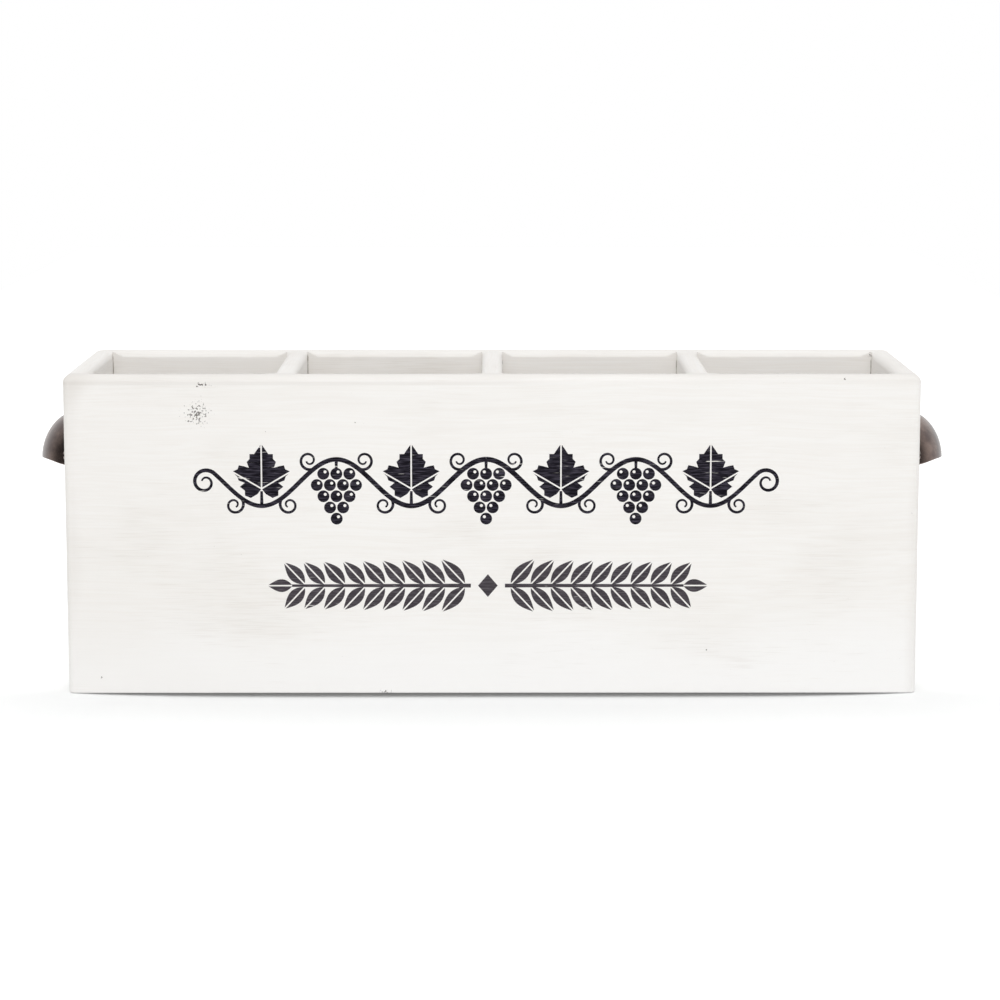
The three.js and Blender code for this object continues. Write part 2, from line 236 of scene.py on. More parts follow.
outside = sanded_stack(
    "outside_cutter",
    (half_length, half_depth - PRINT_FILM),
    UPRIGHT_ROUND,
    foot_levels + rim_levels,
    side_steps=80,
)
walls = [-inside_x]
for low, high in divider_boxes:
    walls += [low.x, high.x]
walls.append(inside_x)
mouths = []
for left, right in zip(walls[::2], walls[1::2]):
    mouths.append(sanded_stack(
        "mouth_cutter",
        ((right - left) / 2, inside_y),
        GUIDE_ROLLER,
        mouth_levels,
        side_steps=30,
        middle_x=(left + right) / 2,
    ))
print("compartments in mm:", [round((b - a) / MM, 1) for a, b in zip(walls[::2], walls[1::2])])

# %% [markdown]
# ## Carving the boards
# A board starts as an oversized plank. Boolean modifiers keep what lies inside the outside solid
# and take away the mouths. The result is stored as a plain mesh, and a Weighted Normal modifier
# keeps the big faces flat while the roundings shade smoothly.

# %% A plank and its cuts
def plank(name, low, high):
    """A rectangular plank between two corners."""
    corners = ((low[0], low[1]), (high[0], low[1]), (high[0], high[1]), (low[0], high[1]))
    bm = bmesh.new()
    loft(bm, [[(x, y, z) for x, y in corners] for z in (low[2], high[2])])
    return new_object(name, bm)


def cut(piece, operation, cutter):
    """Adds one boolean step."""
    step = piece.modifiers.new(operation.lower(), "BOOLEAN")
    step.operation = operation
    step.solver = "MANIFOLD"
    step.object = cutter


def store_shape(piece):
    """Keeps what the modifiers give as the object's own mesh."""
    graph = bpy.context.evaluated_depsgraph_get()
    shaped = bpy.data.meshes.new_from_object(piece.evaluated_get(graph))
    piece.modifiers.clear()
    piece.data = shaped


def shade(piece, sharp_angle):
    """Smooth shading that keeps flat faces flat and real corners crisp."""
    piece.data.shade_smooth()
    piece.data.set_sharp_from_angle(angle=math.radians(sharp_angle))
    even = piece.modifiers.new("even_normals", "WEIGHTED_NORMAL")
    even.keep_sharp = True


def carve_board(node, low, high):
    """The painted board that stands for one CAD node."""
    board = plank("painted_" + node, low, high)
    cut(board, "INTERSECT", outside)
    for mouth in mouths:
        cut(board, "DIFFERENCE", mouth)
    store_shape(board)
    shade(board, sharp_angle=40)
    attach(board, "root")
    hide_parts(node)
    return board


print("cutters for each board:", 1 + len(mouths))

# %% [markdown]
# The front and back boards run over the ends of the end boards, as on the real box. The planks are
# oversized wherever the outside solid or a mouth trims them, and the cutters go once all is cut.

# %% Carve every board
OVERSIZE = 8 * MM
far_x = half_length + OVERSIZE
far_y = half_depth + OVERSIZE
far_z = rim_z + OVERSIZE
boards = {
    "front_board": carve_board("front_board", (-far_x, -far_y, -OVERSIZE), (far_x, -inside_y, far_z)),
    "back_board": carve_board("back_board", (-far_x, inside_y, -OVERSIZE), (far_x, far_y, far_z)),
}
for node, low_x, high_x in (
    ("left_end_board", -far_x, -inside_x),
    ("right_end_board", inside_x, far_x),
):
    boards[node] = carve_board(node, (low_x, -inside_y, -OVERSIZE), (high_x, inside_y, far_z))
for node, (low, high) in zip(divider_nodes, divider_boxes):
    boards[node] = carve_board(node, low, (high.x, high.y, far_z))
boards["base_board"] = carve_board("base_board", base_low, base_high)
for cutter in [outside, *mouths]:
    bpy.data.objects.remove(cutter)
print("boards:", {name: len(board.data.polygons) for name, board in boards.items()})

# %% [markdown]
# ## Brushed white paint
# The finish is a white emulsion paint, brushed along each board over sanded pine. Bristles leave
# ridges about a millimetre apart and a hand's width long, and slow patches of more or less paint
# lie over that. Where a patch is thin, the grain of the pine shows in fine short lines. To the eye
# it is a soft, slightly broken white with a low sheen. A painted picture could give that too, but
# noise needs no picture: it is drawn out along the board, on coordinates that wander as a hand does.

# %% Patterns of the paint
def streaks(tree, place, along, length, width, detail):
    """Noise drawn out along one axis, as a brush draws paint."""
    size = [1 / width] * 3
    size[along] = 1 / length
    at = add(tree, "ShaderNodeMapping", {"Vector": place, "Scale": size})
    settings = {"Vector": at, "Scale": 1.0, "Detail": detail, "Roughness": 0.55}
    return add(tree, "ShaderNodeTexNoise", settings)


def hand_drift(tree, place):
    """Coordinates that wander by a few millimetres over a hand's width."""
    slow = {"Vector": place, "Scale": 1 / (80 * MM), "Detail": 1.0}
    drift = add(tree, "ShaderNodeTexNoise", slow, out="Color")
    middle = add(tree, "ShaderNodeVectorMath", {0: drift, 1: (0.5, 0.5, 0.5)}, operation="SUBTRACT")
    reach = (7 * MM, 7 * MM, 7 * MM)
    return add(tree, "ShaderNodeVectorMath", {0: middle, 1: reach, 2: place}, operation="MULTIPLY_ADD")


def veil(tree, colour, tint, pattern, start, full, most):
    """Lays a tint over a colour: none where the pattern is at start, most of it where full."""
    share = add(
        tree,
        "ShaderNodeMapRange",
        {"Value": pattern, "From Min": start, "From Max": full, "To Max": most},
        interpolation_type="SMOOTHSTEP",
    )
    settings = {"Factor": share, "A": colour, "B": linear(tint)}
    return add(tree, "ShaderNodeMix", settings, data_type="RGBA")


print("made: streaks, the drift of a hand and veils of colour")

# %% [markdown]
# Paint comes off in flecks where the box was knocked: noise that only shows near a given place.
# In the corners beside the back board the brush has left thin open lines, darker than the paint.
# Under the rounded rim of the front runs a fine line of painted shade and dirt, clearest on the left.

# %% Chips, open corners and the line of painted shade under the rim
LINE_DROP = 3.9 * MM


def chip_mask(tree, place, middle, reach):
    """One in the flecks around a place, zero elsewhere; the reach is a half size for each axis."""
    fine = {"Vector": place, "Scale": 1 / (1.0 * MM), "Detail": 2.0, "Roughness": 0.6}
    flecks = add(tree, "ShaderNodeTexNoise", fine)
    off = add(
        tree,
        "ShaderNodeMapping",
        {"Vector": place, "Location": middle, "Scale": reach},
        vector_type="TEXTURE",
    )
    away = add(tree, "ShaderNodeVectorMath", {0: off}, operation="LENGTH")
    near = add(tree, "ShaderNodeMapRange", {"Value": away, "To Min": 0.19, "To Max": -0.15})
    return add(tree, "ShaderNodeMath", {0: near, 1: flecks}, operation="ADD")


def corner_line(tree, place, wall_x, width, top):
    """One along a thin, broken upright line beside a wall, zero at its width and above its top."""
    patchy = {"Vector": place, "Scale": 1 / (5 * MM), "Detail": 3.0}
    broken = add(tree, "ShaderNodeTexNoise", patchy)
    x = add(tree, "ShaderNodeSeparateXYZ", {"Vector": place}, out="X")
    y = add(tree, "ShaderNodeSeparateXYZ", {"Vector": place}, out="Y")
    z = add(tree, "ShaderNodeSeparateXYZ", {"Vector": place}, out="Z")
    off = add(tree, "ShaderNodeMath", {0: x, 1: wall_x}, operation="SUBTRACT")
    away = add(tree, "ShaderNodeMath", {0: off}, operation="ABSOLUTE")
    narrow = {"Value": away, "From Max": width, "To Min": 1.0, "To Max": 0.0}
    line = add(tree, "ShaderNodeMapRange", narrow)
    inside = add(tree, "ShaderNodeMath", {0: y, 1: inside_y + RIM_ROUND}, operation="LESS_THAN")
    line_top = rim_z - top
    lower = {"Value": z, "From Min": line_top - 3 * MM, "From Max": line_top, "To Min": 1.0, "To Max": 0.0}
    below = add(tree, "ShaderNodeMapRange", lower)
    for share in (broken, inside, below):
        line = add(tree, "ShaderNodeMath", {0: line, 1: share}, operation="MULTIPLY")
    return line


def rim_shade_and_dirt_line(tree, place):
    """One along a fine line of painted shade and dirt under the rim, less to the right, zero elsewhere."""
    x = add(tree, "ShaderNodeSeparateXYZ", {"Vector": place}, out="X")
    z = add(tree, "ShaderNodeSeparateXYZ", {"Vector": place}, out="Z")
    off = add(tree, "ShaderNodeMath", {0: z, 1: rim_z - LINE_DROP}, operation="SUBTRACT")
    away = add(tree, "ShaderNodeMath", {0: off}, operation="ABSOLUTE")
    narrow = {"Value": away, "From Min": 0.3 * MM, "From Max": 1.3 * MM, "To Min": 1.0, "To Max": 0.0}
    line = add(tree, "ShaderNodeMapRange", narrow)
    leftward = {"Value": x, "From Min": -20 * MM, "From Max": 40 * MM, "To Min": 1.0, "To Max": 0.15}
    left = add(tree, "ShaderNodeMapRange", leftward)
    return add(tree, "ShaderNodeMath", {0: line, 1: left}, operation="MULTIPLY")


print("made: masks for chips, open corners and the worn line")

# %% [markdown]
# The paint itself lays its patterns over the white one by one, like thin coats. The same noise
# that tints it also raises it a little, so that the ridges catch the light.

# %% The paint material
def brushed_paint(name, along, chips=(), corners=(), fades=(), rim_shade_and_dirt=0.0):
    """White emulsion on pine, brushed along one axis; the last argument is the strength of the line of
    painted shade and dirt under the rim.
    """
    material, tree = new_material(name)
    place = add(tree, "ShaderNodeTexCoord", out="Object")
    hand = hand_drift(tree, place)
    bristles = streaks(tree, hand, along, 60 * MM, 1.0 * MM, 3.0)
    strokes = streaks(tree, hand, along, 110 * MM, 8 * MM, 3.0)
    patches = streaks(tree, hand, along, 90 * MM, 40 * MM, 3.0)
    grain = streaks(tree, place, along, 18 * MM, 0.5 * MM, 2.0)

    colour = veil(tree, linear("#f4f1ed"), "#f7f5f2", bristles, 0.3, 0.7, 1.0)
    colour = veil(tree, colour, "#eeeae5", strokes, 0.48, 0.75, 0.32)
    colour = veil(tree, colour, "#e9e5df", patches, 0.5, 0.75, 0.35)
    # Fades lay painted light and painted shade over the paint, each along one direction.
    for toward, start, full, tint, most in fades:
        way = add(tree, "ShaderNodeVectorMath", {0: hand, 1: toward}, operation="DOT_PRODUCT")
        colour = veil(tree, colour, tint, way, start * MM, full * MM, most)
    # Painted shade, with some dirt in it, in a fine line under the rounded rim.
    if rim_shade_and_dirt:
        colour = veil(tree, colour, "#cfc9c2", rim_shade_and_dirt_line(tree, place), 0.0, 1.0, rim_shade_and_dirt)
    thin = add(tree, "ShaderNodeMath", {0: grain, 1: patches}, operation="MULTIPLY")
    colour = veil(tree, colour, "#c3b9ae", thin, 0.3, 0.45, 0.13)
    for middle, reach in chips:
        colour = veil(tree, colour, "#57514b", chip_mask(tree, place, middle, reach), 0.62, 0.7, 0.9)
    for wall_x, width, top in corners:
        line = corner_line(tree, place, wall_x, width, top)
        colour = veil(tree, colour, "#7d766d", line, 0.16, 0.5, 0.9)

    relief = add(tree, "ShaderNodeMath", {0: grain, 1: 0.5, 2: bristles}, operation="MULTIPLY_ADD")
    bump = add(tree, "ShaderNodeBump", {"Strength": 0.22, "Distance": 0.2 * MM, "Height": relief})
    sheen = add(tree, "ShaderNodeMapRange", {"Value": strokes, "To Min": 0.48, "To Max": 0.68})
    paint = add(
        tree,
        "ShaderNodeBsdfPrincipled",
        {"Base Color": colour, "Roughness": sheen, "IOR": 1.45, "Normal": bump},
    )
    add(tree, "ShaderNodeOutputMaterial", {"Surface": paint})
    return material


print("made: the paint, brushed along one axis of a board")

# %% [markdown]
# The front shows a rubbed spot above the left of the print, a few flecks on its upper edge, and
# small nicks near the corners. Towards the foot it is painted lighter, as painted light from the
# paper. Painted shade greys its left side and its rounded upper and outer edges, and its top left
# corner is darker. Each place is measured in millimetres from the middle of the foot.

# %% Paint every board
ALONG_X = 0
ALONG_Y = 1
front_chips = []
# A chip is X and Z of its middle, and half its size along both.
for x, z, half_x, half_z in (
    (-137.5, 133.0, 11.5, 11.0),
    (-135.5, 146.6, 11.0, 2.2),
    (164.0, 149.2, 1.3, 1.1),
    (-184.2, 7.6, 1.6, 1.2),
    (-50.6, 0.4, 7.5, 2.4),
    (101.0, 21.0, 1.2, 1.0),
    (-64.0, 129.0, 1.3, 1.0),
    (197.2, 85.7, 1.3, 1.1),
):
    front_chips.append(((x * MM, -half_depth, z * MM), (half_x * MM, 8 * MM, half_z * MM)))
# A dark patch on the inner rounding of the rim over the left compartment: painted shade where the rim
# meets the wall behind it.
front_chips.append(((-181.5 * MM, -inside_y - 2.2 * MM, rim_z), (8.5 * MM, 2.6 * MM, 2 * MM)))
corner_chips = [((walls[7] - 0.5 * MM, inside_y, rim_z - 2 * MM), (2.6 * MM, 4 * MM, 2.6 * MM))]
# An open corner is X of its wall, its width, and how far below the rim it starts.
open_corners = [
    (walls[0], 0.9 * MM, 0.5 * MM),
    (walls[2], 0.9 * MM, 0 * MM),
    (walls[3], 0.4 * MM, 3 * MM),
    (walls[4], 0.6 * MM, 3 * MM),
    (walls[5], 0.8 * MM, 2 * MM),
    (walls[7], 0.9 * MM, 2 * MM),
]
# A fade is the way it runs, where along it the tint starts and is full, the tint and its share.
front_fades = [
    # Painted light from the paper: the paint is lighter and more neutral towards the foot.
    ((0, -6, -1), 310, 352, "#fbfaf9", 0.8),
    # Painted shade along the rounded upper edge.
    ((0, 0, 1), 147, 151, "#e2ded9", 0.4),
    # Painted shade along the rounded left and right edges.
    ((-1, -3, 0), 371, 380, "#e2ded9", 0.3),
    ((1, -3, 0), 377, 381, "#e2ded9", 0.25),
    # Darker at the top left corner.
    ((-1, -3, 1), 510, 530, "#d6d0c9", 0.35),
    # Painted shade: darker towards the lower left and across the left side, standing in for light that
    # falls more from the right.
    ((-1, 0, -1), 95, 140, "#e3dfd9", 0.07),
    ((-1, 0, 0), 0, 200, "#e6e2dd", 0.16),
]
paints = {
    "front_board": brushed_paint(
        "white_emulsion_front", ALONG_X, front_chips, fades=front_fades, rim_shade_and_dirt=0.2
    ),
    "back_board": brushed_paint("white_emulsion_back", ALONG_X, corner_chips, open_corners),
    "base_board": brushed_paint("white_emulsion_base", ALONG_X),
}
cross_paint = brushed_paint("white_emulsion_ends_and_dividers", ALONG_Y, corner_chips)
for name, board in boards.items():
    board.data.materials.clear()
    board.data.materials.append(paints.get(name, cross_paint))
print("painted boards:", len(boards))

# %% [markdown]
# ## The print on the front
# The front carries a black print in two lines: a running vine with grapes above, and a laurel
# branch below it, both old stock ornaments. The shapes are flat faces, a hair thicker than the
# paint, drawn in millimetres around the middle of their line.

# %% Tools for drawing flat shapes
def fill(drawing, points, behind=0.0):
    """One filled shape from points of X and Z, a little behind the other ink if need be."""
    area = sum(a.x * b.y - b.x * a.y for a, b in zip(points, points[1:] + points[:1]))
    ordered = points if area > 0 else points[::-1]
    corners = [drawing.verts.new((p.x * MM, behind * MM, p.y * MM)) for p in ordered]
    return drawing.faces.new(corners)


def stroke(drawing, points, start_width, end_width, behind=0.0):
    """A pen stroke along points, its width running evenly from start to end."""
    edges = []
    last = len(points) - 1
    for i, point in enumerate(points):
        ahead = (points[min(i + 1, last)] - points[max(i - 1, 0)]).normalized()
        side = Vector((-ahead.y, ahead.x))
        half = (start_width + (end_width - start_width) * i / last) / 2
        edges.append((point + side * half, point - side * half))
    for (a, b), (c, d) in zip(edges, edges[1:]):
        fill(drawing, [a, b, d, c], behind)


def clip(points, place, normal):
    """The part of a shape that lies ahead of a line, seen along its normal."""
    kept = []
    for a, b in zip(points, points[1:] + points[:1]):
        high_a = (a - place).dot(normal)
        high_b = (b - place).dot(normal)
        if high_a >= 0:
            kept.append(a)
        if high_a * high_b < 0:
            kept.append(a.lerp(b, high_a / (high_a - high_b)))
    return kept


def placed(points, base, angle, mirror):
    """Points that are mirrored if need be, turned and moved to their base."""
    turn = Matrix.Rotation(angle, 2)
    return [base + turn @ Vector((p.x * mirror, p.y)) for p in points]


def mirror_drawing(drawing):
    """Adds the left half to a drawing of the right half."""
    half = drawing.verts[:] + drawing.faces[:]
    copy = bmesh.ops.duplicate(drawing, geom=half)["geom"]
    for vertex in [part for part in copy if isinstance(part, bmesh.types.BMVert)]:
        vertex.co.x = -vertex.co.x
    faces = [part for part in copy if isinstance(part, bmesh.types.BMFace)]
    bmesh.ops.reverse_faces(drawing, faces=faces)


def print_on_front(name, drawing, middle):
    """Lays a drawing on the front as a thin film of ink."""
    place = (middle[0] * MM, -half_depth, middle[1] * MM)
    bmesh.ops.translate(drawing, verts=drawing.verts, vec=place)
    mesh = bpy.data.meshes.new(name)
    drawing.to_mesh(mesh)
    drawing.free()
    made = bpy.data.objects.new(name, mesh)
    bpy.context.scene.collection.objects.link(made)
    film = made.modifiers.new("ink_film", "SOLIDIFY")
    film.thickness = 0.8 * PRINT_FILM
    film.offset = -1.0
    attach(made, "root")
    print(name, "faces:", len(mesh.polygons))
    return made


print("made: shapes, strokes and a film of", PRINT_FILM / MM, "mm")

# %% [markdown]
# A vine leaf has five toothed lobes. Half of its outline is enough: the other half is its mirror
# image. Each half is cut along its side vein, and the cuts are left open by a hair, so the veins
# stand white in the black print.

# %% The vine leaf
LEAF_HEIGHT = 23.0
LEAF_WIDTH = 19.5
HALF_LEAF = [Vector((x * LEAF_WIDTH, y * LEAF_HEIGHT)) for x, y in (
    (0.0, 0.12), (0.1, 0.01), (0.26, -0.07), (0.4, -0.02), (0.4, 0.08), (0.52, 0.16), (0.4, 0.24),
    (0.55, 0.29), (0.58, 0.37), (0.7, 0.47), (0.57, 0.52), (0.54, 0.6), (0.42, 0.58), (0.3, 0.55),
    (0.35, 0.67), (0.28, 0.73), (0.28, 0.83), (0.17, 0.83), (0.1, 0.92), (0.0, 1.04),
)]
LEAF_ROOT = Vector((0.0, 0.12 * LEAF_HEIGHT))
SIDE_LOBE = 9
VEIN = 0.7


def vine_leaf(drawing, base):
    """A leaf that stands on its base."""
    side_vein = (HALF_LEAF[SIDE_LOBE] - LEAF_ROOT).normalized()
    across = Vector((-side_vein.y, side_vein.x))
    for mirror in (1, -1):
        half = clip(HALF_LEAF, Vector((VEIN / 2, 0.0)), Vector((1.0, 0.0)))
        for side in (1, -1):
            part = clip(half, LEAF_ROOT + across * side * VEIN / 2, across * side)
            fill(drawing, placed(part, base, 0.0, mirror))


print("points of half a leaf:", len(HALF_LEAF))

# %% [markdown]
# A grape is a disc with an open highlight, and a tendril is a pen stroke that winds in on itself.
# Tendrils and stalks lie a hundredth of a millimetre behind the stem: two faces in one plane would
# shade each other black.

# %% Grapes and tendrils
BERRY = 2.8
BERRY_GAP = 0.5
HIGHLIGHT = 0.26
BRANCH_BEHIND = 0.01


def berry(drawing, centre):
    """A round grape with an open highlight at its upper left."""
    steps = 20
    shine = centre + Vector((-0.3, 0.32)) * BERRY
    turns = [i / steps * 2 * math.pi for i in range(steps)]
    ways = [Vector((math.cos(turn), math.sin(turn))) for turn in turns]
    for way, following in zip(ways, ways[1:] + ways[:1]):
        rim = [centre + way * BERRY, centre + following * BERRY]
        light = [shine + following * BERRY * HIGHLIGHT, shine + way * BERRY * HIGHLIGHT]
        fill(drawing, rim + light)


def bunch(drawing, top, rows):
    """Grapes in rows that hang from a point; a row is the places of its grapes, in berries."""
    pitch = 2 * BERRY + BERRY_GAP
    nested = 0.87 * pitch
    for line, row in enumerate(rows):
        for place in row:
            berry(drawing, top + Vector((place * pitch, -BERRY - line * nested)))


def tendril(drawing, start, heading, radius, sense, width=1.4):
    """A curl that leaves its start along a heading and winds in to the left (1) or right (-1)."""
    steps = 36
    turns = 1.3
    inward = heading + sense * math.pi / 2
    centre = start + Vector((math.cos(inward), math.sin(inward))) * radius
    points = []
    for i in range(steps + 1):
        t = i / steps
        way = heading - sense * math.pi / 2 + sense * t * turns * 2 * math.pi
        points.append(centre + Vector((math.cos(way), math.sin(way))) * radius * (1 - 0.75 * t))
    stroke(drawing, points, width, 0.8, BRANCH_BEHIND)


print("a grape in mm:", 2 * BERRY)

# %% [markdown]
# The stem of the vine runs in even waves. A bunch hangs from every crest, a leaf stands in every
# hollow, and tendrils curl away between them. Only the right half is drawn.

# %% The vine
PITCH = 35.0
WAVE = 11.0
FULL_ROWS = ((-1, 0, 1), (-1.5, -0.5, 0.5, 1.5), (-1, 0, 1), (-0.5, 0.5), (0,))
RIGHT_ROWS = ((1,), (0.5, 1.5), (1,), (0.5,), ())
MIDDLE_ROWS = ((0,), (), (0,), (), (0,))


def stem(x):
    """A point of the waving stem."""
    return Vector((x, WAVE * math.cos(math.pi * x / PITCH)))


def stem_heading(x):
    """The angle at which the stem runs on to the right."""
    return math.atan(-WAVE * math.pi / PITCH * math.sin(math.pi * x / PITCH))


def stalk(drawing, place, reach):
    """A short stalk that leaves the stem upwards, or downwards if its reach is negative."""
    points = [place, place + Vector((0, reach))]
    stroke(drawing, points, 1.6, 1.2, BRANCH_BEHIND)


STEM_END = 128.0
CURL = 4.6
END_CURL = 6.0
LEAF_STALK = Vector((0, 5.4))
BUNCH_STALK = Vector((0, 4.0))
LEAF_STALK_REACH = 7.0
BUNCH_STALK_REACH = -4.2
vine = bmesh.new()
stem_steps = 128
stroke(vine, [stem(STEM_END * i / stem_steps) for i in range(stem_steps + 1)], 2.4, 1.9)
tendril(vine, stem(STEM_END - 0.5), stem_heading(STEM_END), END_CURL, -1, width=1.9)
# First the curls that leave the stem forwards, then those that leave it backwards.
for x, sense in ((10, 1), (25, -1), (80, 1), (95, -1)):
    tendril(vine, stem(x), stem_heading(x), CURL, sense)
for x, sense in ((45, 1), (60, -1), (115, 1)):
    tendril(vine, stem(x), stem_heading(x) + math.pi, CURL, sense)
for x in (PITCH, 3 * PITCH):
    vine_leaf(vine, stem(x) + LEAF_STALK)
    stalk(vine, stem(x), LEAF_STALK_REACH)
bunch(vine, stem(2 * PITCH) - BUNCH_STALK, FULL_ROWS)
bunch(vine, stem(0) - BUNCH_STALK, RIGHT_ROWS)
stalk(vine, stem(2 * PITCH), BUNCH_STALK_REACH)
mirror_drawing(vine)
bunch(vine, stem(0) - BUNCH_STALK, MIDDLE_ROWS)
stalk(vine, stem(0), BUNCH_STALK_REACH)
vine_print = print_on_front("vine_print", vine, (-2.8, 100.5))

# %% [markdown]
# The laurel branch has its leaves in pairs, each in two halves around an open middle vein, and
# the pairs grow a little shorter towards the tip. A diamond stands between the two branches.

# %% The laurel branch
def laurel_leaf(drawing, base, angle, length, width):
    """A pointed leaf that grows from its base at an angle from upright."""
    steps = 10
    edge = [Vector((VEIN / 2, 0.0))]
    for i in range(1, steps):
        t = i / steps
        edge.append(Vector((VEIN / 2 + math.sin(math.pi * t ** 0.85) * width / 2, t * length)))
    edge.append(Vector((VEIN / 2, length)))
    for mirror in (1, -1):
        fill(drawing, placed(edge, base, angle, mirror))


BRANCH_START = 8.0
BRANCH_TIP = 92.0
PAIRS = 9
PAIR_PITCH = 9.4
LEAF_SPREAD = 47
LAUREL_LENGTH = 15.4
LAUREL_WIDTH = 6.0
DIAMOND = Vector((4.6, 5.4))
laurel = bmesh.new()
stroke(laurel, [Vector((x, 0)) for x in (BRANCH_START, 50, BRANCH_TIP)], 1.8, 1.2)
for pair in range(PAIRS):
    length = LAUREL_LENGTH - 0.25 * pair
    for side in (1, -1):
        base = Vector((BRANCH_START + 3 + PAIR_PITCH * pair, 0.9 * side))
        laurel_leaf(laurel, base, math.radians(-90 + LEAF_SPREAD * side), length, LAUREL_WIDTH)
laurel_leaf(laurel, Vector((BRANCH_TIP, 0)), math.radians(-90), 11.0, 5.4)
fill(laurel, [Vector((0, -DIAMOND.y)), Vector((DIAMOND.x, 0)), Vector((0, DIAMOND.y))])
mirror_drawing(laurel)
laurel_print = print_on_front("laurel_print", laurel, (-2.0, 51.6))

# %% [markdown]
# The ink is a flat black screen-printing ink with a blue cast, denser in the upper line. It is so
# matt that it mirrors next to nothing. The bristle ridges of the paint carry less of it, and
# sanding along the board has rubbed it off in fine lines and a few broader scuffs, so the white
# paint shows through.

# %% The ink material
def rubbed_ink(name, dense, thin, wear):
    """Matt black ink on brushed paint, rubbed through along X; more wear is more paint."""
    material, tree = new_material(name)
    place = add(tree, "ShaderNodeTexCoord", out="Object")
    bare_paint = "#eeebe6"
    ridges = streaks(tree, place, ALONG_X, 7 * MM, 0.6 * MM, 3.0)
    lines = streaks(tree, place, ALONG_X, 16 * MM, 0.8 * MM, 4.0)
    scuffs = streaks(tree, place, ALONG_X, 30 * MM, 3.5 * MM, 4.0)
    colour = veil(tree, linear(dense), thin, ridges, 0.4, 0.75, 1.0)
    colour = veil(tree, colour, bare_paint, lines, 0.66 - wear, 0.74 - wear, 1.0)
    colour = veil(tree, colour, bare_paint, scuffs, 0.7 - wear, 0.74 - wear, 1.0)
    matt = {"Base Color": colour, "Roughness": 0.8, "IOR": 1.45, "Specular IOR Level": 0.12}
    ink = add(tree, "ShaderNodeBsdfPrincipled", matt)
    add(tree, "ShaderNodeOutputMaterial", {"Surface": ink})
    return material


vine_print.data.materials.append(rubbed_ink("black_screen_ink", "#110e17", "#4b4753", 0.02))
laurel_print.data.materials.append(rubbed_ink("thinned_black_screen_ink", "#423d42", "#625d62", 0.0))
print("inks:", [printed.data.materials[0].name for printed in (vine_print, laurel_print)])

# %% [markdown]
# ## Cup handles
# A cup handle is a quarter of an egg, hollow, with a flat flange and two ears against the board.
# The CAD has that form with few facets. A subdivision modifier would round its crisp edges away,
# so it is lofted afresh and finer. The section of the shell runs down the outside, round the lip
# and up the inside, and swings from side to side.

# %% The shell
CUP_HALF_WIDTH = 31.0 * MM
CUP_RISE = 22.8 * MM
CUP_WALL = 1.8 * MM
CUP_LIP_RISE = 1.0 * MM
CUP_LIP_BOW = 1.3 * MM
LIP_ROUND = 0.5
cup_low, cup_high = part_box("right_cup_handle")
cup_reach = cup_high.x - half_length


def egg_point(inset, swing, climb):
    """A point of the egg, shrunk by an inset, at an angle from side to side and up from its axis."""
    across = math.sin(swing)
    return Vector((
        (cup_reach - inset) * across * math.cos(climb),
        (CUP_HALF_WIDTH - inset) * math.cos(swing),
        (CUP_RISE - inset) * across * math.sin(climb),
    ))


def shell_section(swing):
    """The closed outline of the shell's wall at one angle."""
    climb_steps = 20
    lip_steps = 8
    rise = CUP_LIP_RISE + 4 * CUP_LIP_BOW * math.sin(swing) * math.cos(swing) ** 2
    sides = []
    for inset in (0.0, CUP_WALL):
        lip = math.asin(rise / (CUP_RISE - inset))
        climbs = [math.pi / 2 + (lip - math.pi / 2) * i / climb_steps for i in range(climb_steps + 1)]
        sides.append([egg_point(inset, swing, climb) for climb in climbs])
    outer, inner = sides
    middle = (outer[-1] + inner[-1]) / 2
    half = (outer[-1] - inner[-1]) / 2
    down = Vector((0, 0, -1)) * half.length * LIP_ROUND
    lip_points = []
    for i in range(1, lip_steps):
        turn = math.pi * i / lip_steps
        lip_points.append(middle + half * math.cos(turn) + down * math.sin(turn))
    return outer + lip_points + inner[::-1]


print("cup reach in mm:", round(cup_reach / MM, 1))

# %% [markdown]
# The flange is a flat arch round the shell, and each ear is a disc round a screw. Both have an
# eased outer edge. Shell, flange and ears overlap inside the metal, so they need no boolean.

# %% The flange and the ears
FLANGE = 1.6 * MM
FLANGE_EASE = 0.5 * MM
FLANGE_BORDER = 2.6 * MM
EAR_RADIUS = 5.6 * MM
flange_z = cup_high.z - CUP_RISE - FLANGE_BORDER

EASE_STEPS = 4
eased_edge = [(0.0, 0.0)]
for step in range(EASE_STEPS + 1):
    turn = math.pi / 2 * step / EASE_STEPS
    out = FLANGE - FLANGE_EASE * (1 - math.sin(turn))
    eased_edge.append((out, FLANGE_EASE * (1 - math.cos(turn))))


def flange_section(swing):
    """The closed outline of the flange's arch at one angle, with an eased outer edge."""
    wide = CUP_HALF_WIDTH + FLANGE_BORDER
    high = CUP_RISE + FLANGE_BORDER
    reach = FLANGE_BORDER + CUP_WALL
    points = eased_edge + [(FLANGE, reach), (0.0, reach)]
    across = math.cos(swing)
    up = math.sin(swing)
    return [(x, (wide - inset) * across, (high - inset) * up) for x, inset in points]


def ear_outline(centre_y, x, inset):
    """A circle around a screw's place, at one distance from the board."""
    steps = 40
    radius = EAR_RADIUS - inset
    ways = [2 * math.pi * i / steps for i in range(steps)]
    return [(x, centre_y + radius * math.cos(way), EAR_RADIUS + radius * math.sin(way)) for way in ways]


print("flange and ears in mm:", round(FLANGE / MM, 1), round(EAR_RADIUS / MM, 1))

# %% [markdown]
# Each handle is built at the middle of the frame, reaching to the right, and is then turned and
# moved onto its end board. The swing stops just short of both poles of the egg, where the section
# would shrink to nothing and leave faces without an area.

